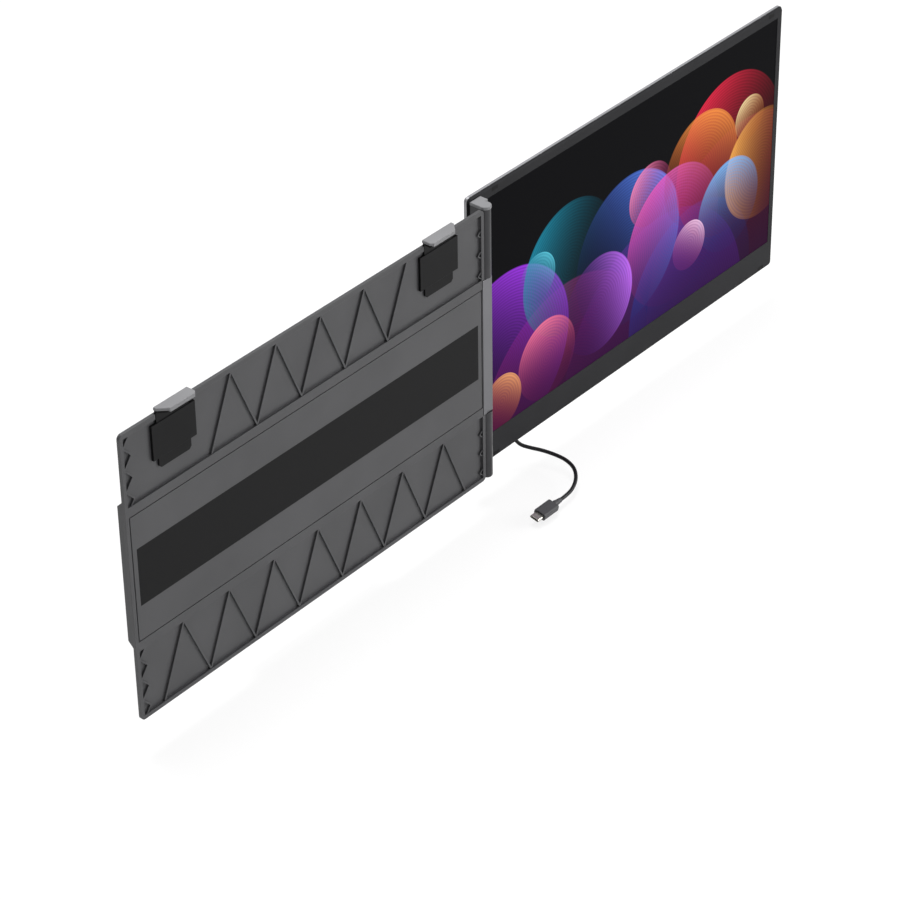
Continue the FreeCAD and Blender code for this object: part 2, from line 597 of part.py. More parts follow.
def make_arm():
    """Flat arm behind the plate, and the fixed knuckle that stands at the plate's edge."""
    flat = box("arm_flat", "plate_wide / 2 - arm_reach", "plate_thick", f"-1 * {ARM_HALF}",
               "arm_reach", "arm_thick", f"2 * {ARM_HALF}")
    front = "-1 * knuckle_front"
    knuckle = box("knuckle_block", "plate_wide / 2 - knuckle_lap", front, "-knuckle_tall / 2",
                  f"{AXIS_X} - plate_wide / 2 + knuckle_lap + barrel_size",
                  "barrel_size + axis_back + knuckle_front", "knuckle_tall")
    knuckle = rounded("knuckle_front_round", knuckle, "knuckle_round",
                      edge_at(x=f"{AXIS_X} + barrel_size", y=front))
    knuckle = rounded("knuckle_back_round", knuckle, "barrel_size - knuckle_flat",
                      edge_at(x=f"{AXIS_X} + barrel_size", y="barrel_size + axis_back"))
    whole = fuse("arm_whole", [flat, knuckle])
    cuts = []
    for sign in ("", "-"):
        start = "knuckle_tall / 2 - pin_in_knuckle" if sign == "" else "-knuckle_tall / 2 - 1"
        cuts.append(rod("bush_bore_" + ("up" if sign == "" else "down"), AXIS_X, "axis_back", start,
                        "pin_size + run_gap + bush_wall", "pin_in_knuckle + 1"))
    for n, (x, z) in enumerate(ARM_HOLES):
        cuts.append(rod(f"arm_hole_{n}", x, "plate_thick - 1", z, "arm_screw", "arm_thick + 2", FRONT_BACK))
    return node(cut("arm", whole, cuts), "hinge_arm")


def make_arm_screws():
    made = screws("arm_screw_piece", ARM_HOLES, "(plate_thick - screw_bite)", "arm_screw",
                  "(arm_thick + screw_bite)", "arm_screw_head", "arm_screw_head_tall", "arm_screw_slot")
    return node(group("arm_screws", made), "arm_screws")


def make_bushes():
    """Split friction sleeves pressed into the knuckle; the pins turn in them."""
    made = []
    for way, start in (("up", "knuckle_tall / 2 - pin_in_knuckle"), ("down", "-knuckle_tall / 2")):
        tube = rod("sleeve_" + way, AXIS_X, "axis_back", start,
                   "pin_size + run_gap + bush_wall", "pin_in_knuckle")
        bore = rod("sleeve_bore_" + way, AXIS_X, "axis_back", start + " - 1",
                   "pin_size + run_gap", "pin_in_knuckle + 2")
        slit = box("sleeve_slit_" + way, f"{AXIS_X} - bush_slit / 2", "axis_back", start + " - 1",
                   "bush_slit", "pin_size + run_gap + bush_wall + 1", "pin_in_knuckle + 2")
        made.append(cut("sleeve_done_" + way, tube, [bore, slit]))
    return node(group("sleeves", made), "friction_sleeves")


def make_pin(way):
    """Steel pin, fast in its barrel and turning in the knuckle's sleeve; both ends are bevelled."""
    gap = "joint_gap / 2"
    start = (f"knuckle_tall / 2 - pin_in_knuckle + {gap}" if way == "upper"
             else "-knuckle_tall / 2 - joint_gap - pin_in_barrel")
    body = doc.addObject("PartDesign::Body", "pin_" + way)
    plane = [f for f in body.Origin.OriginFeatures if f.Role == "XZ_Plane"][0]
    sketch = body.newObject("Sketcher::SketchObject", "pin_half_" + way)
    sketch.AttachmentSupport = [(plane, "")]
    sketch.MapMode = "FlatFace"
    length = f"pin_in_knuckle + pin_in_barrel + {gap}"
    corners = [("0", "0"), ("pin_size - pin_bevel", "0"), ("pin_size", "pin_bevel"),
               ("pin_size", f"{length} - pin_bevel"), ("pin_size - pin_bevel", length), ("0", length)]
    spots = [V(size(a), size(b), 0) for a, b in corners]
    for i in range(6):
        sketch.addGeometry(Part.LineSegment(spots[i], spots[(i + 1) % 6]), False)
    for i in range(6):
        sketch.addConstraint(Sketcher.Constraint("Coincident", i, 2, (i + 1) % 6, 1))
    for i, (a, b) in enumerate(corners):
        for kind, words, value in (("DistanceX", a, spots[i].x), ("DistanceY", b, spots[i].y)):
            number = sketch.addConstraint(Sketcher.Constraint(kind, -1, 1, i, 1, value))
            sketch.setExpression(f"Constraints[{number}]", named(words))
    turned = body.newObject("PartDesign::Revolution", "pin_turned_" + way)
    turned.Profile = sketch
    turned.ReferenceAxis = (sketch, ["V_Axis"])
    turned.Angle = 360
    bind(body, x=AXIS_X, y="axis_back", z=start)
    return node(body, f"hinge_pin_{way}")


def make_barrel(way):
    """Round barrel with the leaf that carries it on the screen's bezel."""
    low = ("knuckle_tall / 2 + joint_gap" if way == "upper" else f"-1 * {COLUMN_LOW}")
    tall = (f"{COLUMN_HIGH} - cap_tall - knuckle_tall / 2 - joint_gap" if way == "upper"
            else f"{COLUMN_LOW} - knuckle_tall / 2 - joint_gap")
    leaf_back = "face_back"
    round_part = rod("barrel_round_" + way, AXIS_X, "axis_back", low, "barrel_size", tall)
    web = box("barrel_web_" + way, f"{AXIS_X} - barrel_size", "axis_back", low,
              "2 * barrel_size", f"{leaf_back} - axis_back", tall)
    leaf = box("barrel_leaf_" + way, f"{AXIS_X} - barrel_size + leaf_step", f"{leaf_back} - leaf_deep", low,
               "leaf_wide", "leaf_deep", tall)
    whole = fuse("barrel_whole_" + way, [round_part, web, leaf])
    whole = rounded("barrel_leaf_round_" + way, whole, "leaf_round", edge_at(
        x=f"{AXIS_X} - barrel_size + leaf_step + leaf_wide", y=f"{leaf_back} - leaf_deep"))
    if way == "lower":
        whole = rounded("barrel_end_" + way, whole, "barrel_round", lambda e: (
            edge_at(z=f"-1 * {COLUMN_LOW}")(e) and e.BoundBox.YMax < size("axis_back + 0.01")))
    bore_start = ("knuckle_tall / 2 + joint_gap - 1" if way == "upper"
                  else "-knuckle_tall / 2 - joint_gap - pin_in_barrel")
    cuts = [rod("barrel_bore_" + way, AXIS_X, "axis_back", bore_start, "pin_size", "pin_in_barrel + 1")]
    for n, z in enumerate(leaf_heights(way)):
        cuts.append(rod(f"barrel_hole_{way}_{n}", LEAF_SCREW_X, "face_back - leaf_screw_bite", z,
                        "leaf_screw", "leaf_screw_bite + 1", FRONT_BACK))
    return node(cut("barrel_" + way, whole, cuts), f"hinge_barrel_{way}")


LEAF_SCREW_X = f"({AXIS_X} - barrel_size + leaf_wide / 2)"
LEAF_SCREW_NEAR = "(knuckle_tall / 2 + leaf_screw_near)"
LEAF_SCREW_FAR = "(plate_tall / 2 - leaf_screw_end)"


def leaf_heights(way):
    sign = "1" if way == "upper" else "-1"
    return [f"{sign} * {LEAF_SCREW_NEAR}", f"{sign} * {LEAF_SCREW_FAR}"]


def make_cap():
    """Thin cover on top of the upper barrel, a little proud of it all round."""
    low = f"{COLUMN_HIGH} - cap_tall"
    nose = rod("cap_nose", AXIS_X, "axis_back", low, "barrel_size + cap_lip", "cap_tall")
    web = box("cap_web", f"{AXIS_X} - barrel_size - cap_lip + 0.15", "axis_back", low,
              "2 * barrel_size + cap_lip - 0.15", "face_back - axis_back - 0.05", "cap_tall")
    leaf = box("cap_leaf", f"{AXIS_X} - barrel_size", "face_back - leaf_deep", low,
               "leaf_wide + 0.2", "leaf_deep - 0.05", "cap_tall")
    whole = fuse("cap_whole", [nose, web, leaf])
    whole = bevelled("cap", whole, "cap_lip", edge_at(z=COLUMN_HIGH))
    return node(whole, "hinge_cap")


def make_leaf_screws():
    places = [(LEAF_SCREW_X, z) for way in ("upper", "lower") for z in leaf_heights(way)]
    made = screws("leaf_screw_piece", places, "(face_back - leaf_screw_bite)", "leaf_screw",
                  "(leaf_screw_bite + bezel_thick + cell_thick)", "leaf_screw_head",
                  "leaf_screw_head_tall", "leaf_screw_slot")
    return node(group("leaf_screws", made), "leaf_screws")


def make_bezel():
    """Front frame of the second screen, with bumper pockets and screw holes."""
    slab = box("bezel_slab", SCREEN_LEFT, "face_back", f"-1 * {SCREEN_LOW}",
               "screen_wide", "bezel_thick", SCREEN_TALL)
    slab = rounded("bezel_round", slab, "screen_corner", lambda e: along(e, V(0, 1, 0)))
    slab = bevelled("bezel_bevel", slab, "screen_bevel", edge_at(y="face_back"))
    cuts = [box("bezel_window", VIEW_LEFT, "face_back - 1", VIEW_LOW,
                VIEW_WIDE, "bezel_thick + 2", VIEW_TALL)]
    for n, (x, z) in enumerate(BUMPERS):
        cuts.append(box(f"bumper_pocket_{n}", f"{x} - bumper_wide / 2", "face_back",
                        f"{z} - bumper_tall / 2", "bumper_wide", "bumper_deep", "bumper_tall"))
    for way in ("upper", "lower"):
        for n, z in enumerate(leaf_heights(way)):
            cuts.append(rod(f"bezel_hole_{way}_{n}", LEAF_SCREW_X, "face_back - 1", z,
                            "leaf_screw", "bezel_thick + 2", FRONT_BACK))
    return node(cut("bezel", slab, cuts), "screen_bezel")


BUMPERS = [(x, z) for x in (f"({SCREEN_LEFT} + bumper_left)", f"({SCREEN_RIGHT} - bumper_right)")
           for z in (f"(bumper_edge - {SCREEN_LOW})", f"({SCREEN_TOP} - bumper_edge)")]


def make_bumpers():
    made = []
    for n, (x, z) in enumerate(BUMPERS):
        made.append(box(f"bumper_{n}", f"{x} - bumper_wide / 2", "face_back - bumper_proud",
                        f"{z} - bumper_tall / 2", "bumper_wide", "bumper_deep + bumper_proud",
                        "bumper_tall"))
    return node(group("bumpers", made), "bezel_bumpers")


def make_display():
    """Picture glass in the window, with the crystal cell and the backlight behind it."""
    node(box("glass", VIEW_LEFT, "face_back + glass_set", VIEW_LOW,
             VIEW_WIDE, "bezel_thick - glass_set", VIEW_TALL), "display_glass")
    cell_place = (f"{VIEW_LEFT} - cell_margin", f"{VIEW_LOW} - cell_margin")
    cell_sides = (f"{VIEW_WIDE} + 2 * cell_margin", f"{VIEW_TALL} + 2 * cell_margin")
    node(box("cell", cell_place[0], "face_back + bezel_thick", cell_place[1],
             cell_sides[0], "cell_thick", cell_sides[1]), "display_cell")
    node(box("light", cell_place[0], "face_back + bezel_thick + cell_thick", cell_place[1],
             cell_sides[0], "light_thick", cell_sides[1]), "backlight_unit")


BLOCK_LEFT = f"({SCREEN_LEFT} + block_left)"
BLOCK_LOW = f"(block_low - {SCREEN_LOW})"


def port_x(n):
    return f"({BLOCK_LEFT} + port_first + {n} * port_step)"


PORT_Y = f"({SCREEN_BACK} + port_back)"


def make_cover():
    """Rear cover: shallow shell with a port block, port windows and key holes."""
    slab = box("cover_slab", SCREEN_LEFT, "face_back + bezel_thick", f"-1 * {SCREEN_LOW}",
               "screen_wide", "screen_deep - bezel_thick", SCREEN_TALL)
    slab = rounded("cover_round", slab, "screen_corner", lambda e: along(e, V(0, 1, 0)))
    slab = bevelled("cover_bevel", slab, "screen_bevel", edge_at(y=SCREEN_BACK))
    block = box("block_slab", BLOCK_LEFT, f"{SCREEN_BACK} - 1", BLOCK_LOW,
                "block_wide", "block_deep + 1", "block_tall")
    block = bevelled("block_bevels", block, "block_bevel", lambda e: (
        edge_at(y=f"{SCREEN_BACK} + block_deep")(e) and not edge_at(z=BLOCK_LOW)(e)))
    whole = fuse("cover_whole", [slab, block])
    room = box("cover_room", f"{SCREEN_LEFT} + cover_wall", "face_back", f"cover_wall - {SCREEN_LOW}",
               "screen_wide - 2 * cover_wall", "screen_deep - cover_back",
               f"{SCREEN_TALL} - 2 * cover_wall")
    room = rounded("cover_room_round", room, "screen_corner - cover_wall", lambda e: along(e, V(0, 1, 0)))
    nook = box("block_room", f"{BLOCK_LEFT} + cover_wall", "face_back + screen_deep / 2",
               f"{BLOCK_LOW} + cover_wall", "block_wide - 2 * cover_wall",
               "screen_deep / 2 + block_deep - cover_wall", "block_tall - 2 * cover_wall")
    nook = bevelled("block_room_bevels", nook, "block_bevel - cover_wall / 2", lambda e: (
        edge_at(y=f"{SCREEN_BACK} + block_deep - cover_wall")(e)
        and not edge_at(z=f"{BLOCK_LOW} + cover_wall")(e)))
    cuts = [room, nook]
    for n in range(PORTS):
        cuts.append(box(f"port_window_{n}", f"{port_x(n)} - port_wide / 2", f"{PORT_Y} - port_thick / 2",
                        f"{BLOCK_LOW} - 1", "port_wide", "port_thick", "cover_wall + 1.5"))
    for n in range(len(KEYS)):
        cuts.append(rod(f"key_hole_{n}", key_x(n), "face_back + screen_deep / 2", KEY_Z,
                        "key_size + key_gap", "screen_deep", FRONT_BACK))
    return node(cut("cover", whole, cuts), "rear_cover")


PORTS = 3
KEYS = ("menu_key", "plus_key", "minus_key")
KEY_Z = f"(key_up - {SCREEN_LOW})"
COVER_INSIDE = f"({SCREEN_BACK} - cover_back)"


def key_x(n):
    return f"({SCREEN_RIGHT} - key_right + {n} * key_step)"


def make_board():
    """Main board in the port block, with a foot that joins it to the block's inner back wall."""
    slab = box("board_slab", f"{BLOCK_LEFT} + board_margin", f"{PORT_Y} - port_thick / 2 - board_thick",
               f"{BLOCK_LOW} + cover_wall", "block_wide - 2 * board_margin", "board_thick",
               "block_tall - cover_wall - board_margin")
    return node(slab, "main_board")


def make_ports():
    """Flat metal port shells on the board, each with a tongue, behind their windows."""
    made = []
    for n in range(PORTS):
        base = f"{BLOCK_LOW} + port_set"
        shell = box(f"port_shell_{n}", f"{port_x(n)} - port_wide / 2", f"{PORT_Y} - port_thick / 2",
                    base, "port_wide", "port_thick", "port_long")
        hole = box(f"port_hole_{n}", f"{port_x(n)} - port_wide / 2 + port_wall",
                   f"{PORT_Y} - port_thick / 2 + port_wall", f"{base} - 1",
                   "port_wide - 2 * port_wall", "port_thick - 2 * port_wall", "port_long + 0.4")
        tongue = box(f"port_tongue_{n}", f"{port_x(n)} - tongue_wide / 2", f"{PORT_Y} - tongue_thick / 2",
                     f"{base} + port_long - tongue_long - tongue_set", "tongue_wide", "tongue_thick",
                     "tongue_long")
        made.append(fuse(f"port_{n}", [cut(f"port_open_{n}", shell, [hole]), tongue]))
    return node(group("ports", made), "port_sockets")


def make_keys():
    """Round keys on the back, each held by a flange inside the cover, over a key board."""
    for n, label in enumerate(KEYS):
        inside = f"({COVER_INSIDE} - key_rest - key_flange_thick)"
        stem = rod(label + "_stem", key_x(n), inside, KEY_Z, "key_size",
                   "key_flange_thick + key_rest + cover_back + key_proud", FRONT_BACK)
        stem = rounded(label + "_edge", stem, "key_proud / 2",
                       edge_at(y=f"{SCREEN_BACK} + key_proud"))
        flange = rod(label + "_flange", key_x(n), inside, KEY_Z,
                     "key_size + key_flange", "key_flange_thick", FRONT_BACK)
        node(fuse(label + "_whole", [stem, flange]), label)
    slab = box("key_board_slab", f"{key_x(0)} - key_board_end", "face_back + bezel_thick",
               f"{KEY_Z} - key_board_half", "2 * key_board_end + 2 * key_step", "key_board_thick",
               "2 * key_board_half")
    top = "(face_back + bezel_thick + key_board_thick)"
    pressed = f"({COVER_INSIDE} - key_flange_thick - 2 * key_rest - key_travel)"
    switches = [rod(f"switch_{n}", key_x(n), f"{top} - 0.1", KEY_Z, "switch_size",
                    f"{pressed} - {top} + 0.1", FRONT_BACK)
                for n in range(len(KEYS))]
    return node(fuse("key_board_whole", [slab] + switches), "key_board")


def make_hinge_plate():
    """Steel strip inside the screen that backs the bezel where the leaves are screwed on."""
    slab = box("hinge_plate_slab", f"{SCREEN_LEFT} + cover_wall + backing_gap", "face_back + bezel_thick",
               f"-1 * {LEAF_SCREW_FAR} - backing_end", "backing_wide", "cell_thick",
               f"2 * {LEAF_SCREW_FAR} + 2 * backing_end")
    holes = [rod(f"hinge_plate_hole_{way}_{n}", LEAF_SCREW_X, "face_back", z, "leaf_screw",
                 "screen_deep", FRONT_BACK)
             for way in ("upper", "lower") for n, z in enumerate(leaf_heights(way))]
    return node(cut("hinge_plate", slab, holes), "hinge_backing_plate")


CLIP_TOP = "(plate_tall / 2 + clip_up)"
HEAD_LOW = f"({CLIP_TOP} - clip_head)"


def make_clip(side):
    """Lid hook: head with cut front corners and a hanging lip."""
    out = 1 if side == "right" else -1
    middle = CLIP_OUT if side == "right" else f"(-1 * {CLIP_OUT})"
    half = "clip_wide / 2"
    outer = f"{middle} + {out} * {half}"
    inner = f"{middle} - {out} * {half}"
    corners = [(inner, "clip_back"), (inner, "clip_inner_cut - clip_front"),
               (f"{inner} + {out} * clip_inner_cut", "-clip_front"),
               (f"{outer} - {out} * clip_outer_cut", "-clip_front"),
               (outer, "clip_outer_cut - clip_front"), (outer, "clip_back")]
    head = polygon_body(f"clip_head_{side}", "XY_Plane", corners, "clip_head", HEAD_LOW)
    head = bevelled(f"clip_head_bevel_{side}", head, "clip_bevel", lambda e: (
        edge_at(z=CLIP_TOP)(e) and not edge_at(z=CLIP_TOP, y="clip_back")(e)))
    lip_left = (f"{inner} + clip_inner_cut" if out == 1 else f"{outer} + clip_outer_cut")
    lip = box(f"clip_lip_{side}", lip_left, "-clip_front", f"{HEAD_LOW} - clip_hang",
              "clip_wide - clip_inner_cut - clip_outer_cut", "clip_lip", "clip_hang + 0.1")
    return node(fuse(f"clip_{side}", [head, lip]), f"lid_clip_{side}")


def make_slide(side):
    """Flat slide under a clip head, which runs in the plate's guide."""
    middle = CLIP_OUT if side == "right" else f"(-1 * {CLIP_OUT})"
    flat = box(f"slide_{side}_flat", f"{middle} - stem_wide / 2", "clip_back - stem_thick",
               f"{HEAD_LOW} - stem_long", "stem_wide", "stem_thick", "stem_long")
    flat = bevelled(f"slide_{side}_cut", flat, "slide_lead", lambda e: (
        along(e, V(0, 1, 0)) and edge_at(z=f"{HEAD_LOW} - stem_long")(e)))
    return node(flat, f"clip_slide_{side}")


def make_liner(side):
    """Soft block under the head, inside its outline, between the lip and the slide."""
    out = 1 if side == "right" else -1
    middle = CLIP_OUT if side == "right" else f"(-1 * {CLIP_OUT})"
    inner = f"{middle} - {out} * (clip_wide / 2 - liner_inset)"
    outer = f"{middle} + {out} * (clip_wide / 2 - liner_inset)"
    front = "clip_lip - clip_front"
    back = "clip_back - stem_thick"
    corners = [(inner, back), (inner, front),
               (f"{outer} - {out} * (clip_outer_cut - clip_lip)", front),
               (outer, f"{front} + clip_outer_cut - clip_lip"), (outer, back)]
    block = polygon_body(f"liner_{side}", "XY_Plane", corners, "liner_thick", f"{HEAD_LOW} - liner_thick")
    return node(block, f"clip_liner_{side}")


def make_guide(side):
    """Low bridge over the stem, which keeps the clip in the plate."""
    middle = CLIP_OUT if side == "right" else f"(-1 * {CLIP_OUT})"
    tall = "guide_low - guide_high"
    low = "plate_tall / 2 - guide_low"
    whole = box(f"guide_block_{side}", f"{middle} - stem_wide / 2 - stem_gap - guide_wall", "0", low,
                "stem_wide + 2 * stem_gap + 2 * guide_wall", "plate_thick - floor_thick", tall)
    way = box(f"guide_way_{side}", f"{middle} - stem_wide / 2 - stem_gap", "guide_strap",
              f"{low} - 1", "stem_wide + 2 * stem_gap", "plate_thick", f"{tall} + 2")
    return node(cut(f"guide_{side}", whole, [way]), f"clip_guide_{side}")


def make_strips():
    made = []
    for side, sign in (("left", "-1 * "), ("right", "")):
        made.append(box("strip_" + side, f"{sign}{CLIP_OUT} - strip_wide / 2", "clip_back + strip_gap",
                        "plate_tall / 2 - guide_low", "strip_wide", "strip_thick",
                        "guide_low - guide_high"))
    return node(group("strips", made), "friction_strips")


STAND_Y = f"({HOUSING_BACK} - stand_axis_in)"
STAND_FRONT = f"({HOUSING_BACK} - stand_pocket + stand_gap)"


def make_stand():
    """Flat rear stand with a rolled top edge."""
    flat = box("stand_flat", f"-1 * {STAND_HALF}", STAND_FRONT, "stand_axis_up - stand_long",
               f"2 * {STAND_HALF}", "stand_thick", "stand_long - 0.2")
    roll = rod("stand_roll", f"-1 * {STAND_HALF}", STAND_Y, "stand_axis_up", "stand_barrel",
               f"2 * {STAND_HALF}", SIDEWAYS)
    whole = fuse("stand_whole", [flat, roll])
    bore = rod("stand_bore", f"-1 * {STAND_HALF} - 1", STAND_Y, "stand_axis_up",
               "stand_pin + run_gap", f"2 * {STAND_HALF} + 2", SIDEWAYS)
    return node(cut("stand", whole, [bore]), "rear_stand")


def make_foot():
    """Rubber sleeve over the free end of the stand."""
    low = "stand_axis_up - stand_long - foot_wall"
    sleeve = box("foot_block", f"-1 * {STAND_HALF} - foot_wall", f"{STAND_FRONT} - foot_wall", low,
                 f"2 * {STAND_HALF} + 2 * foot_wall", "stand_thick + 2 * foot_wall", "foot_tall + foot_wall")
    sleeve = rounded("foot_round", sleeve, "foot_wall", edge_at(z=low))
    room = box("foot_room", f"-1 * {STAND_HALF}", STAND_FRONT, "stand_axis_up - stand_long",
               f"2 * {STAND_HALF}", "stand_thick", "foot_tall + 1")
    return node(cut("foot", sleeve, [room]), "stand_foot")


def make_stand_pin():
    half = f"({STAND_HALF} + stand_gap)"
    return node(rod("stand_pin_rod", f"-1 * {half} - stand_lug + 1", STAND_Y, "stand_axis_up",
                    "stand_pin", f"2 * {half} + 2 * stand_lug - 2", SIDEWAYS), "stand_pin")


# The lead: where it turns, by hand, from the port's plug to the far plug. Millimetres.
LEAD_ROUTE = [
    (252.6, 25.4, -100.5), (252.6, 25.4, -110.0), (252.2, 24.9, -119.6), (254.4, 18.6, -128.9),
    (260.2, 11.8, -132.3), (265.0, 3.0, -133.6), (267.8, -7.8, -134.7), (268.6, -18.2, -135.7),
    (265.2, -28.9, -136.9), (256.8, -37.4, -138.1), (246.8, -42.4, -139.3), (237.2, -44.5, -140.0),
    (227.4, -44.5, -140.0),
]
ARC_SHARE = 0.45


def lead_path(points):
    """Straight runs joined by tangent arcs, each as large as its two runs allow."""
    turns = []
    for before, here, after in zip(points, points[1:], points[2:]):
        a, b = (here - before), (after - here)
        half = a.getAngle(b) / 2
        radius = ARC_SHARE * min(a.Length, b.Length) / math.tan(half)
        back = radius * math.tan(half)
        start, end = here - V(a).normalize() * back, here + V(b).normalize() * back
        inward = (V(b).normalize() - V(a).normalize()).normalize()
        middle = here + inward * (radius / math.cos(half) - radius)
        turns.append((start, middle, end, radius))
    edges, at = [], points[0]
    for start, middle, end, radius in turns:
        edges.append(Part.LineSegment(at, start).toShape())
        edges.append(Part.Arc(start, middle, end).toShape())
        at = end
    edges.append(Part.LineSegment(at, points[-1]).toShape())
    print("lead radii", " ".join(f"{turn[3]:.1f}" for turn in turns))
    return Part.Wire(edges)


def make_lead():
    """The free lead, a round tube along its route."""
    path = lead_path([V(*point) for point in LEAD_ROUTE])
    circle = Part.Circle(path.Edges[0].firstVertex().Point, V(0, 0, 1), size("lead_size"))
    ring = Part.Wire([circle.toShape()])
    tube = path.makePipeShell([ring], True, False)
    length = path.Length
    ratio = tube.Volume / (math.pi * size("lead_size") ** 2 * length)
    print(f"lead length {length:.1f}, volume ratio {ratio:.4f}")
    thing = doc.addObject("Part::Feature", "lead")
    thing.Shape = tube
    return node(thing, "lead_cable")


def plug_shapes():
    """Plug body with its strain relief, and the metal nose, pointing along +Z from the body's mouth."""
    wide, thick, long_body = size("plug_wide"), size("plug_thick"), size("plug_long")
    body = Part.makeBox(wide, thick, long_body, V(-wide / 2, -thick / 2, -long_body))
    upright = [e for e in body.Edges if along(e, V(0, 0, 1))]
    body = body.makeFillet(size("plug_round"), upright)
    rear = [e for e in body.Edges if abs(e.BoundBox.ZMax + long_body) < 1e-3]
    body = body.makeFillet(size("plug_round") / 2, rear)
    collar = size("relief_long") * size("relief_collar")
    ring = Part.makeCylinder(size("relief_size"), collar, V(0, 0, -long_body), V(0, 0, -1))
    sleeve = Part.makeCone(size("relief_size - relief_step"), size("lead_size + relief_step"),
                           size("relief_long") - collar, V(0, 0, -long_body - collar), V(0, 0, -1))
    body = body.fuse([ring, sleeve]).removeSplitter()
    nose_wide, nose_thick, nose_long = size("nose_wide"), size("nose_thick"), size("nose_long")
    nose = Part.makeBox(nose_wide, nose_thick, nose_long, V(-nose_wide / 2, -nose_thick / 2, 0))
    nose = nose.makeFillet(nose_thick / 2 - 0.05, [e for e in nose.Edges if along(e, V(0, 0, 1))])
    wall = size("nose_wall")
    room = Part.makeBox(nose_wide - 2 * wall, nose_thick - 2 * wall, nose_long,
                        V(wall - nose_wide / 2, wall - nose_thick / 2, wall))
    room = room.makeFillet(nose_thick / 2 - wall - 0.05, [e for e in room.Edges if along(e, V(0, 0, 1))])
    return body, nose.cut(room)


def make_plugs():
    """The plug in the screen's first port, and the far plug for the laptop, on the lead's two ends."""
    body, nose = plug_shapes()
    reach = size("plug_long + relief_long")
    near = FreeCAD.Placement(V(*LEAD_ROUTE[0]) + V(0, 0, reach), UPRIGHT)
    lean = FreeCAD.Rotation(V(1, 0, 0), size("far_plug_lean"))
    sideways = lean.multiply(FreeCAD.Rotation(V(0, 1, 0), -90)).multiply(FreeCAD.Rotation(V(0, 0, 1), 90))
    far = FreeCAD.Placement(V(*LEAD_ROUTE[-1]) - V(reach, 0, 0), sideways)
    for label, shape, place in (("port_plug", body, near), ("port_plug_nose", nose, near),
                                ("laptop_plug", body, far), ("laptop_plug_nose", nose, far)):
        thing = doc.addObject("Part::Feature", label + "_shape")
        thing.Shape = shape
        thing.Placement = place
        node(thing, label)


make_tray()
make_pad()
make_housing()
make_housing_screws()
make_arm()
make_arm_screws()
make_bushes()
for way in ("upper", "lower"):
    make_pin(way)
    make_barrel(way)
make_cap()
make_leaf_screws()
make_bezel()
make_bumpers()
make_display()
make_cover()
make_board()
make_ports()
make_keys()
make_hinge_plate()
for side in ("left", "right"):
    make_clip(side)
    make_slide(side)
    make_liner(side)
    make_guide(side)
make_strips()
make_stand()
make_foot()
make_stand_pin()
make_lead()
make_plugs()

doc.recompute()
for thing in doc.Objects:
    if {"Invalid", "Error"} & set(thing.State):
        raise RuntimeError(f"{thing.Name} failed: {thing.State}")
for thing in NODES:
    if thing.Shape.isNull() or not thing.Shape.isValid() or not thing.Shape.Solids:
        raise RuntimeError(f"{thing.Label} has no valid solid")

os.makedirs("parts", exist_ok=True)
for thing in NODES:
    thing.Shape.exportStep(f"parts/{thing.Label}.step")
    around = thing.Shape.BoundBox
    print(f"{thing.Label:22s} {len(thing.Shape.Solids)} solids {thing.Shape.Volume:10.1f} mm3 "
          f"x {around.XMin:7.1f} {around.XMax:7.1f} y {around.YMin:6.1f} {around.YMax:6.1f} "
          f"z {around.ZMin:7.1f} {around.ZMax:7.1f}")
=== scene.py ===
# %% [markdown]
# # Laptop screen extender
# A second screen on a fold hinge beside a flat bracket. The bracket hangs on a laptop's lid.
# The construction comes in as a fixed frame, and this script gives it its finishes:
# what each surface is made of, the lead, the light and the camera. Everything is in metres.

# %% Load the frame
import bpy
import math
from mathutils import Matrix, Vector


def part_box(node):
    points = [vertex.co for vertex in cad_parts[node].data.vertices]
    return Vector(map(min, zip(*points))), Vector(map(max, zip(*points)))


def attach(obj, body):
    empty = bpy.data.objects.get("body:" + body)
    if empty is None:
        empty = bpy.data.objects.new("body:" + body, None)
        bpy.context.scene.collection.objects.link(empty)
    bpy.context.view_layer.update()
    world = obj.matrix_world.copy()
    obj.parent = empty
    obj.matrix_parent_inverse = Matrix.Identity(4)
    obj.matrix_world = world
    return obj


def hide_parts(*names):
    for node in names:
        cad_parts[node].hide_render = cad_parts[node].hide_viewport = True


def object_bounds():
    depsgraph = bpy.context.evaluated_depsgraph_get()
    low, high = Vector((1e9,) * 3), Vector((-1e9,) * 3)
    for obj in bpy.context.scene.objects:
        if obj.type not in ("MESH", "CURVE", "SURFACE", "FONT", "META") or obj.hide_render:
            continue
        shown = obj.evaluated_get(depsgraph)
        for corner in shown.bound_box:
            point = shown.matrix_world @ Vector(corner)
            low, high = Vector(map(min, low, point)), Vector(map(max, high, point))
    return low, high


MM = 0.001
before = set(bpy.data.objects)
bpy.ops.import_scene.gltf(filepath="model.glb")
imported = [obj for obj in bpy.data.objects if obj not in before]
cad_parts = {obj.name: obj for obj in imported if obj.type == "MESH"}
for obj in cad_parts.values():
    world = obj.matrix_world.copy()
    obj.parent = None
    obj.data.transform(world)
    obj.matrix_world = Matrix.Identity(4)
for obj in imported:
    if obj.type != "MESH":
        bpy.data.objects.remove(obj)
cad_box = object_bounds()

# %% [markdown]
# ## Camera
# The camera stands at the left of the user's side, well above the object and about two and a half
# metres away, with a long lens. A long lens keeps the long edges nearly parallel. It could be turned
# by three angles. Here its own right, down and ahead are written as directions instead, so that
# there is no order of turns to get wrong.

# %% Camera
LENS_MM = 135.25
SENSOR_MM = 36.0
EYE = Vector((-1.4686, -1.3642, 1.3657))
EYE_RIGHT = Vector((0.638158, -0.769800, -0.012731))
EYE_DOWN = Vector((-0.439109, -0.350335, -0.827314))
EYE_AHEAD = Vector((0.632406, 0.533547, -0.561596))

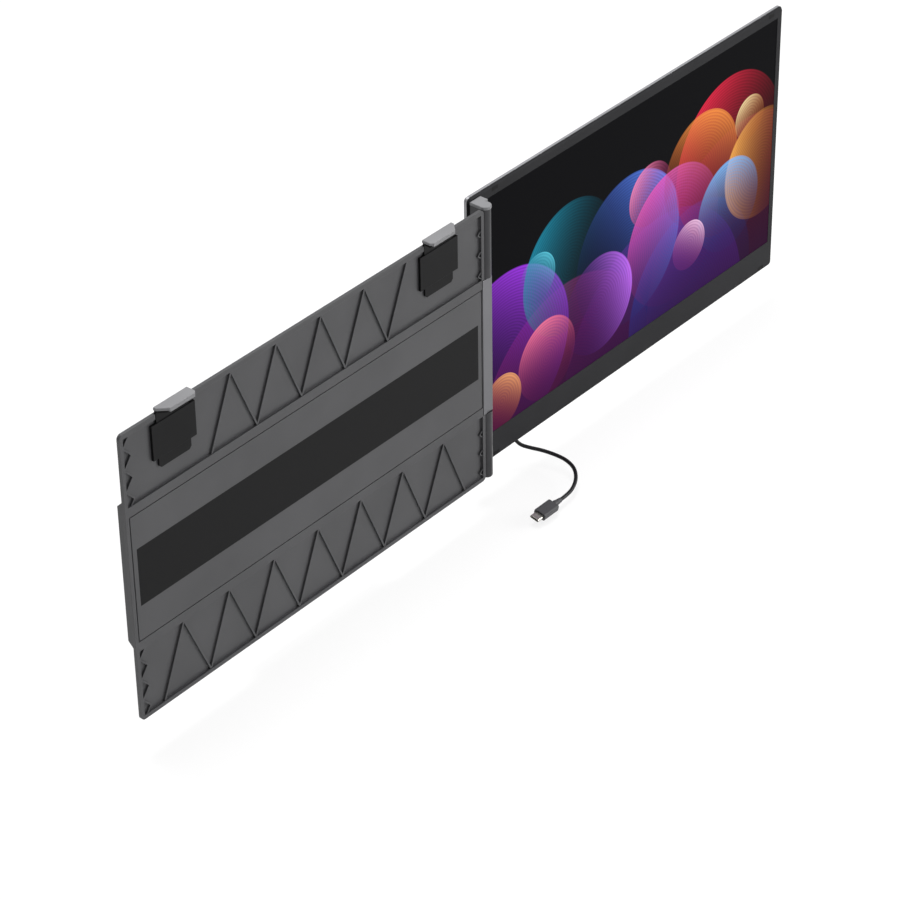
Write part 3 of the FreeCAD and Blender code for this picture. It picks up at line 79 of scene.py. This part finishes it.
camera_data = bpy.data.cameras.new("camera")
camera_data.lens = LENS_MM
camera_data.sensor_width = SENSOR_MM
camera_data.sensor_fit = "HORIZONTAL"
camera_data.clip_end = 50.0
camera = bpy.data.objects.new("camera", camera_data)
turn = Matrix((EYE_RIGHT, -EYE_DOWN, -EYE_AHEAD)).transposed().to_4x4()
camera.matrix_world = Matrix.Translation(EYE) @ turn
bpy.context.scene.collection.objects.link(camera)
bpy.context.scene.camera = camera
print("camera", tuple(round(c, 3) for c in camera.location))

# %% [markdown]
# ## Lead
# The lead is a fixed length of soft cable: out of the port's plug, down behind the screen, forward
# under its edge and round to the far plug. A NURBS curve with a round bevel keeps one smooth bend,
# where straight runs with rounded corners would look like bent wire. Blender multiplies the bevel by
# each point's radius, and grows the curve's box by that radius alone. So the points carry the lead's
# real radius and the bevel is one, which gives the same tube and a box of the right size.

# %% Lead
LEAD_THICK = 0.0031
LEAD_ROUTE = [
    (252.6, 25.4, -100.5), (252.6, 25.4, -110.0), (252.2, 24.9, -119.6), (254.4, 18.6, -128.9),
    (260.2, 11.8, -132.3), (265.0, 3.0, -133.6), (267.8, -7.8, -134.7), (268.6, -18.2, -135.7),
    (265.2, -28.9, -136.9), (256.8, -37.4, -138.1), (246.8, -42.4, -139.3), (237.2, -44.5, -140.0),
    (227.4, -44.5, -140.0),
]

lead_data = bpy.data.curves.new("lead", "CURVE")
lead_data.dimensions = "3D"
spline = lead_data.splines.new("NURBS")
spline.points.add(len(LEAD_ROUTE) - 1)
for point, spot in zip(spline.points, LEAD_ROUTE):
    point.co = (spot[0] * MM, spot[1] * MM, spot[2] * MM, 1.0)
    point.radius = LEAD_THICK / 2
spline.order_u = 3
spline.use_endpoint_u = True
spline.resolution_u = 12
lead_data.bevel_depth = 1.0
lead_data.bevel_resolution = 6
lead = bpy.data.objects.new("lead", lead_data)
bpy.context.scene.collection.objects.link(lead)
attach(lead, "screen")
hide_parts("lead_cable")

# %% [markdown]
# ## How a finish is built
# A finish starts from what the surface really is. Colours are written as sRGB hex values, the way
# they are read off a screen, and one function turns them to the linear values that light adds up in.
# One small function adds a node and sets or links its sockets, so each finish reads as a list.

# %% Helpers for finishes
# Rays that look for the neighbouring faces where an edge is softened.
EDGE_SAMPLES = 6


def linear(hex_colour):
    """Linear RGBA from an sRGB hex colour."""
    parts = [int(hex_colour[i:i + 2], 16) / 255 for i in (1, 3, 5)]
    rgb = [c / 12.92 if c <= 0.04045 else ((c + 0.055) / 1.055) ** 2.4 for c in parts]
    return (*rgb, 1.0)


def set_sockets(tree, node, values):
    """A number or colour is set on the node's own socket, and another node's output is linked."""
    for name, value in values.items():
        if isinstance(value, bpy.types.NodeSocket):
            tree.links.new(value, node.inputs[name])
        else:
            node.inputs[name].default_value = value


def add_node(tree, kind, sockets=None, **settings):
    """Adds a node with its settings, then its sockets by name or number."""
    made = tree.nodes.new(kind)
    for name, value in settings.items():
        setattr(made, name, value)
    set_sockets(tree, made, sockets or {})
    return made


def new_finish(name):
    """An empty material: its tree, its shader and the place on the object in metres."""
    material = bpy.data.materials.new(name)
    material.use_nodes = True
    tree = material.node_tree
    shader = tree.nodes["Principled BSDF"]
    place = add_node(tree, "ShaderNodeTexCoord").outputs["Object"]
    return material, tree, shader, place


def per_metre(size_mm):
    """Texture scale that gives one feature per so many millimetres."""
    return 1.0 / (size_mm * MM)


def grain(tree, place, size_mm, detail=4.0):
    """Irregular grain of one size, from 0 to 1."""
    return add_node(tree, "ShaderNodeTexNoise", {
        "Vector": place, "Scale": per_metre(size_mm), "Detail": detail}).outputs["Fac"]


def uneven(tree, amount, middle, spread):
    """A roughness that wavers about its middle by a texture's value."""
    return add_node(tree, "ShaderNodeMapRange", {
        "Value": amount, "To Min": middle - spread, "To Max": middle + spread}).outputs["Result"]


def tint(tree, amount, first, last, start=0.35, end=0.65):
    """A colour that goes from the first to the last by a texture's value."""
    ramp = add_node(tree, "ShaderNodeValToRGB", {"Fac": amount})
    ramp.color_ramp.elements[0].position = start
    ramp.color_ramp.elements[0].color = linear(first)
    ramp.color_ramp.elements[1].position = end
    ramp.color_ramp.elements[1].color = linear(last)
    return ramp.outputs["Color"]


def relief(tree, height, depth_mm, edge_mm=0.0):
    """A normal from a height texture, over edges softened by a small radius."""
    bump = add_node(tree, "ShaderNodeBump", {
        "Height": height, "Distance": depth_mm * MM, "Strength": 1.0})
    if edge_mm:
        soft = add_node(tree, "ShaderNodeBevel", {"Radius": edge_mm * MM}, samples=EDGE_SAMPLES)
        set_sockets(tree, bump, {"Normal": soft.outputs["Normal"]})
    return bump.outputs["Normal"]


# %% [markdown]
# ## Moulded polymer
# Most of the outside is moulded ABS: the bracket plate, its rear housing, the clips, the hinge's
# cap, the display's frame, the keys and the plugs' bodies. A spark-eroded mould leaves grains of
# about 0.1 mm, which are drawn coarser here so that they show. The polymer isn't a mirror: its
# roughness spreads the light into a soft sheen, and its small rounded edges catch a line of it.
# The boards, the backlight and the display's cell are other materials, hidden inside, and the same
# function serves them with their own colours.

# %% Moulded ABS
def moulded_abs(name, dark, light, roughness, grain_mm=0.5, depth_mm=0.02, shine=0.3, edge_mm=0.25):
    """Fine even grain over a colour that hardly changes."""
    material, tree, shader, place = new_finish(name)
    fine = grain(tree, place, grain_mm)
    broad = grain(tree, place, size_mm=60.0, detail=2.0)
    set_sockets(tree, shader, {
        "Base Color": tint(tree, broad, dark, light),
        "Roughness": uneven(tree, fine, roughness, spread=0.06),
        "Normal": relief(tree, fine, depth_mm, edge_mm),
        "IOR": 1.53,
        "Specular IOR Level": shine,
    })
    return material


# %% [markdown]
# ## Bead-blasted, anodised aluminium
# The hinge barrels, the knuckle between them, the rear cover and the stand are aluminium, blasted
# with fine beads and anodised: the barrels dark grey, the knuckle and the stand mid grey, the cover
# a lighter grey. The beads leave round dents of about 0.1 mm, drawn a little coarser, and the oxide
# layer dulls the metal, so reflections stay broad. The colour of a metal is the colour of its
# reflection. Where the layer is thick and dyed, it hides part of the metal, so a metallic value
# below one is used.

# %% Anodised aluminium
def anodised_aluminium(name, dark, light, roughness, metal=0.9,
                       grain_mm=0.45, depth_mm=0.012, edge_mm=0.3):
    """Small round dents in a metal that is dulled by its oxide layer."""
    material, tree, shader, place = new_finish(name)
    beads = add_node(tree, "ShaderNodeTexVoronoi", {
        "Vector": place, "Scale": per_metre(grain_mm)}, feature="SMOOTH_F1").outputs["Distance"]
    broad = grain(tree, place, size_mm=80.0, detail=2.0)
    set_sockets(tree, shader, {
        "Base Color": tint(tree, broad, dark, light),
        "Roughness": uneven(tree, broad, roughness, spread=0.012),
        "Normal": relief(tree, beads, depth_mm, edge_mm),
        "Metallic": metal,
        "Specular IOR Level": 0.4,
    })
    return material


# %% [markdown]
# ## Silicone and elastomer
# The seat pad, bumpers, liners, friction strips and the stand's foot are silicone; the lead's jacket
# is a similar soft elastomer. Both are nearly black and rough, so they give back very little light.

# %% Silicone
def silicone(name, colour, roughness, grain_mm=0.7, depth_mm=0.03, shine=0.2, edge_mm=0.2):
    """One plain colour with a soft, rough skin."""
    material, tree, shader, place = new_finish(name)
    fine = grain(tree, place, grain_mm)
    set_sockets(tree, shader, {
        "Base Color": linear(colour),
        "Roughness": uneven(tree, fine, roughness, spread=0.08),
        "Normal": relief(tree, fine, depth_mm, edge_mm),
        "IOR": 1.41,
        "Specular IOR Level": shine,
    })
    return material


# %% [markdown]
# ## Steel
# Pins are ground, so they shine with fine lines round them; screws are blackened; port and plug shells
# are nickel plated. One function serves all of them, and the bronze sleeves in the knuckle, with a
# different colour and roughness. The lines are a grain that is long across and short upwards.

# %% Steel
def steel(name, colour, roughness, line_mm=0.25, line_stretch=8.0, depth_mm=0.004, edge_mm=0.15):
    """Fine lines across a bare or plated metal."""
    material, tree, shader, place = new_finish(name)
    stretched = add_node(tree, "ShaderNodeMapping", {
        "Vector": place, "Scale": (1.0, 1.0, line_stretch)}).outputs["Vector"]
    lines = grain(tree, stretched, line_mm * line_stretch)
    set_sockets(tree, shader, {
        "Base Color": linear(colour),
        "Roughness": uneven(tree, lines, roughness, spread=0.08),
        "Normal": relief(tree, lines, depth_mm, edge_mm),
        "Metallic": 1.0,
    })
    return material


# %% [markdown]
# ## Picture
# The lit picture has its own generic design: translucent discs of light on near black, in teal, blue,
# violet, pink, orange and red. Each disc is the distance from its centre, counted in its own radius,
# turned into a mask with a crisp rim and fine rings, and it fades from its lit side to nearly clear.
# The discs are laid over one another, and a violet glow fills the lower part. The picture shines by
# itself, under an anti-reflective film that gives back next to nothing.

# %% Discs of the picture
VIEW_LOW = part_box("display_glass")[0]
# Across and up from the picture's lower left corner and radius in mm; the side that is lit, in
# degrees; shaded and lit colour; strength.
DISCS = [
    (330, 8, 128, 100, "#1c0410", "#7a1236", 0.85),
    (214, -26, 122, 75, "#14041e", "#5c1a86", 0.85),
    (96, -20, 112, 100, "#160418", "#741860", 0.85),
    (262, 2, 84, 110, "#060a26", "#223aa0", 0.8),
    (22, 58, 78, 60, "#240636", "#a63cf0", 0.95),
    (100, 104, 58, 150, "#06222e", "#1f90ac", 0.9),
    (176, 84, 68, 40, "#141a5a", "#5f8cff", 0.95),
    (310, 112, 72, 130, "#4a0812", "#f02c4c", 0.95),
    (236, 70, 62, 110, "#4a0a52", "#f25cc8", 0.95),
    (272, 116, 50, 70, "#7a1c18", "#ff9a48", 0.95),
    (356, 84, 50, 160, "#7a2c10", "#ffb658", 0.95),
    (138, 52, 44, 20, "#3c0a6a", "#c872ff", 0.95),
    (72, 34, 36, 100, "#7a1450", "#ff7a9a", 0.9),
    (312, 64, 42, 95, "#10306a", "#78c0ff", 0.95),
    (204, 122, 28, 140, "#a01c64", "#ff8ab8", 0.9),
    (60, 112, 22, 50, "#0a3a78", "#62d2e8", 0.85),
    (16, 22, 24, 60, "#b03a20", "#ffb070", 0.9),
    (258, 50, 22, 60, "#c03a9a", "#ffd0f2", 0.9),
    (338, 134, 20, 120, "#c86a24", "#ffe8ac", 0.9),
]
# Fine rings inside every disc: their step in millimetres, and how far they dip.
RING_STEP = 2.6
RING_DEPTH = 0.16
# A disc's rim softens over this last share of its radius, its light falls off by this power, and
# its unlit side still covers this share of what lies under it.
RIM_SHARE = 0.015
LIGHT_POWER = 1.8
CLEAR_SHARE = 0.1


def disc_light(tree, place, x, z, radius, lit_side, strength):
    """Of one disc: how far each spot lies towards its lit side, and how much the disc covers."""
    size = radius * MM
    side = math.radians(lit_side)
    out = add_node(tree, "ShaderNodeVectorMath", {
        0: place,
        1: (1 / size, 0.0, 1 / size),
        2: (-(VIEW_LOW[0] + x * MM) / size, 0.0, -(VIEW_LOW[2] + z * MM) / size),
    }, operation="MULTIPLY_ADD").outputs["Vector"]
    far = add_node(tree, "ShaderNodeVectorMath", {0: out}, operation="LENGTH").outputs["Value"]
    inside = add_node(tree, "ShaderNodeMapRange", {
        "Value": far, "From Min": 1.0, "From Max": 1.0 - RIM_SHARE, "To Max": strength,
    }, interpolation_type="SMOOTHSTEP").outputs["Result"]
    sideways = add_node(tree, "ShaderNodeVectorMath", {
        0: out, 1: (math.cos(side), 0.0, math.sin(side))}, operation="DOT_PRODUCT").outputs["Value"]
    share = add_node(tree, "ShaderNodeMapRange", {"Value": sideways, "From Min": -1.0})
    towards = add_node(tree, "ShaderNodeMath", {
        0: share.outputs["Result"], 1: LIGHT_POWER}, operation="POWER").outputs[0]
    turns = add_node(tree, "ShaderNodeMath", {
        0: far, 1: 2 * math.pi * radius / RING_STEP}, operation="MULTIPLY").outputs[0]
    ring = add_node(tree, "ShaderNodeMath", {0: turns}, operation="SINE").outputs[0]
    ringed = add_node(tree, "ShaderNodeMath", {
        0: ring, 1: RING_DEPTH, 2: 1 - CLEAR_SHARE - RING_DEPTH},
        operation="MULTIPLY_ADD").outputs[0]
    filled = add_node(tree, "ShaderNodeMath", {
        0: towards, 1: ringed, 2: CLEAR_SHARE}, operation="MULTIPLY_ADD").outputs[0]
    cover = add_node(tree, "ShaderNodeMath", {0: inside, 1: filled}, operation="MULTIPLY").outputs[0]
    return towards, cover


print("discs", len(DISCS))

# %% Lit picture under its film
# The glow's smooth rise spans this height in mm, and the violet is gone at this share of it. The
# film's haze has this grain and this depth in mm.
GLOW_RISE = 150.0
GLOW_END = 0.7
HAZE_GRAIN = 0.35
HAZE_DEPTH = 0.004


def lit_picture(name):
    """A violet glow below, the discs over it, and a faint haze on the film."""
    material, tree, shader, place = new_finish(name)
    height = add_node(tree, "ShaderNodeSeparateXYZ", {"Vector": place}).outputs["Z"]
    rise = add_node(tree, "ShaderNodeMapRange", {
        "Value": height, "From Min": VIEW_LOW[2], "From Max": VIEW_LOW[2] + GLOW_RISE * MM,
    }, interpolation_type="SMOOTHSTEP").outputs["Result"]
    colour = tint(tree, rise, "#24082e", "#09090c", 0.0, GLOW_END)
    for x, z, radius, lit_side, shaded, lit, strength in DISCS:
        towards, cover = disc_light(tree, place, x, z, radius, lit_side, strength)
        shade = add_node(tree, "ShaderNodeMix", {
            "Factor": towards, "A": linear(shaded), "B": linear(lit)}, data_type="RGBA")
        over = add_node(tree, "ShaderNodeMix", {
            "Factor": cover, "A": colour, "B": shade.outputs["Result"]}, data_type="RGBA")
        colour = over.outputs["Result"]
    set_sockets(tree, shader, {
        "Emission Color": colour,
        "Emission Strength": 1.0,
        "Normal": relief(tree, grain(tree, place, HAZE_GRAIN), HAZE_DEPTH),
        "Base Color": linear("#030303"),
        "Roughness": 0.4,
        "IOR": 1.5,
        "Specular IOR Level": 0.012,
    })
    return material


# %% [markdown]
# ## Which piece has which finish
# Each finish is made once, and each piece of the frame takes one. The colours of the pieces that
# show were matched to the real surfaces under soft light: the frame round the display and the
# silicone are nearly black; the plate, the housing and the hinge barrels are dark grey, and the plugs
# a little lighter; the clips, the cap and the knuckle are mid grey; and the rear cover is lighter
# than these. The grey of the plate and the housing is partly painted shade: it is darker than their
# own grey, to stand for the shadow that a laptop lid, which is not in the scene, casts on the plate.
# The colours of the stand and of the hidden pieces are typical ones.

# %% Finishes
FINISHES = {
    # Partly painted shade: this grey of the plate and the housing is darkened for a laptop lid's
    # shadow.
    moulded_abs("dark_abs_and_painted_shade", "#363638", "#3c3c3e", roughness=0.46, shine=0.4): [
        "bracket_tray", "rear_housing"],
    moulded_abs("grey_abs", "#6e6e70", "#757577", roughness=0.5, grain_mm=0.4): [
        "lid_clip_left", "lid_clip_right", "hinge_cap"],
    moulded_abs("black_abs", "#0e0e0f", "#131314", roughness=0.5, shine=0.1): [
        "clip_slide_left", "clip_slide_right", "clip_guide_left", "clip_guide_right",
        "menu_key", "plus_key", "minus_key"],
    moulded_abs("bezel_abs", "#1d1d1f", "#212123", roughness=0.5,
                grain_mm=0.4, depth_mm=0.015, shine=0.08): ["screen_bezel"],
    moulded_abs("plug_abs", "#404042", "#464648", roughness=0.42, grain_mm=0.3, shine=0.2): [
        "port_plug", "laptop_plug"],
    anodised_aluminium("anodised_hinge", "#343436", "#3a3a3c", roughness=0.32, metal=0.4): [
        "hinge_barrel_upper", "hinge_barrel_lower"],
    anodised_aluminium("anodised_knuckle", "#707073", "#767679", roughness=0.42): ["hinge_arm"],
    anodised_aluminium("anodised_cover", "#8f8f92", "#939396", roughness=0.42, metal=0.7): [
        "rear_cover"],
    anodised_aluminium("anodised_stand", "#58585b", "#5f5f62", roughness=0.45): ["rear_stand"],
    silicone("black_silicone", "#0c0c0d", roughness=0.62): [
        "seat_pad", "bezel_bumpers", "clip_liner_left", "clip_liner_right", "stand_foot",
        "friction_strips"],
    silicone("lead_elastomer", "#0c0c0e", roughness=0.42,
             grain_mm=0.5, depth_mm=0.015, shine=0.35): ["lead_cable"],
    steel("ground_steel", "#b4b4b6", roughness=0.28): [
        "hinge_pin_upper", "hinge_pin_lower", "stand_pin", "hinge_backing_plate"],
    steel("blackened_steel", "#2c2c2f", roughness=0.4): [
        "housing_screws", "arm_screws", "leaf_screws"],
    steel("nickel_plate", "#b4b1aa", roughness=0.3): [
        "port_sockets", "port_plug_nose", "laptop_plug_nose"],
    steel("sleeve_bronze", "#a87a45", roughness=0.35): ["friction_sleeves"],
    moulded_abs("board_laminate", "#12301e", "#163a25", roughness=0.4): ["main_board", "key_board"],
    moulded_abs("light_guide", "#d8dade", "#e0e2e6", roughness=0.3): ["backlight_unit"],
    moulded_abs("cell_glass", "#141418", "#18181c", roughness=0.15): ["display_cell"],
    lit_picture("lit_display"): ["display_glass"],
}

for finish, names in FINISHES.items():
    for name in names:
        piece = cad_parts[name]
        piece.data.materials.clear()
        piece.data.materials.append(finish)
        if name == "lead_cable":
            lead_data.materials.append(finish)
print("finishes", len(FINISHES))

# %% [markdown]
# ## Floor
# A pale floor carries a faint shadow. It could be lit until it looks white, but that much light
# would wash out the object. So the camera, and reflections, see a floor that is mostly white by
# itself, and the lamps stay at a plain level.

# %% Floor
FLOOR_GAP = 0.004
FLOOR_HALF = 9.0
WHITE_SHARE = 0.8
floor_height = cad_box[0][2] - FLOOR_GAP
corners = [(x * FLOOR_HALF, y * FLOOR_HALF, floor_height)
           for x, y in ((-1, -1), (1, -1), (1, 1), (-1, 1))]
floor_data = bpy.data.meshes.new("floor")
floor_data.from_pydata(corners, [], [(0, 1, 2, 3)])
floor = bpy.data.objects.new("floor", floor_data)
bpy.context.scene.collection.objects.link(floor)

paper = bpy.data.materials.new("floor_paper")
paper.use_nodes = True
paper_tree = paper.node_tree
paper_tree.nodes.clear()
seen = add_node(paper_tree, "ShaderNodeLightPath").outputs
shown = add_node(paper_tree, "ShaderNodeMath", {
    0: seen["Is Camera Ray"], 1: seen["Is Glossy Ray"]}, operation="MAXIMUM")
amount = add_node(paper_tree, "ShaderNodeMath", {
    0: shown.outputs[0], 1: WHITE_SHARE}, operation="MULTIPLY")
matt = add_node(paper_tree, "ShaderNodeBsdfDiffuse", {"Color": linear("#f4f4f4")})
glow = add_node(paper_tree, "ShaderNodeEmission", {"Color": linear("#ffffff"), "Strength": 1.0})
blend = add_node(paper_tree, "ShaderNodeMixShader", {
    0: amount.outputs[0], 1: matt.outputs[0], 2: glow.outputs[0]})
add_node(paper_tree, "ShaderNodeOutputMaterial", {"Surface": blend.outputs[0]})
floor_data.materials.append(paper)
print("floor at", round(floor_height, 4), "m")

# %% [markdown]
# ## Light
# A large soft lamp above lights everything that faces up. A second one at the front right lights the
# faces that look that way, and leaves the left sides darker. The sky fills the rest: it is brightest
# above and to the right, and dim opposite.

# %% Light
# The sky's bright side, the cosine from it at which the sky is dimmest, and the least and greatest
# strength. The lamps face about the middle of the object.
SKY_SIDE = (0.5, -0.2, 0.84)
SKY_DIM_AT = -0.4
SKY_DIM = 0.1
SKY_BRIGHT = 0.95
MIDDLE = Vector((0.2, 0.0, 0.0))

world = bpy.data.worlds.new("studio")
world.use_nodes = True
sky_tree = world.node_tree
direction = add_node(sky_tree, "ShaderNodeTexCoord").outputs["Generated"]
facing = add_node(sky_tree, "ShaderNodeVectorMath", {
    0: direction, 1: SKY_SIDE}, operation="DOT_PRODUCT").outputs["Value"]
lightness = add_node(sky_tree, "ShaderNodeMapRange", {
    "Value": facing, "From Min": SKY_DIM_AT, "From Max": 1.0,
    "To Min": SKY_DIM, "To Max": SKY_BRIGHT}).outputs["Result"]
set_sockets(sky_tree, sky_tree.nodes["Background"], {
    "Color": linear("#ffffff"), "Strength": lightness})
bpy.context.scene.world = world


def softbox(name, place, size, power):
    """A square lamp that faces the middle of the object."""
    lamp_data = bpy.data.lights.new(name, "AREA")
    lamp_data.size = size
    lamp_data.energy = power
    lamp = bpy.data.objects.new(name, lamp_data)
    lamp.location = place
    lamp.rotation_euler = (MIDDLE - Vector(place)).to_track_quat("-Z", "Y").to_euler()
    bpy.context.scene.collection.objects.link(lamp)
    print(name, power, "W")


softbox("top_softbox", place=(0.3, 0.4, 2.2), size=1.2, power=52.0)
softbox("right_softbox", place=(2.0, -1.9, 0.9), size=1.0, power=44.0)
bpy.context.scene.view_settings.view_transform = "Standard"
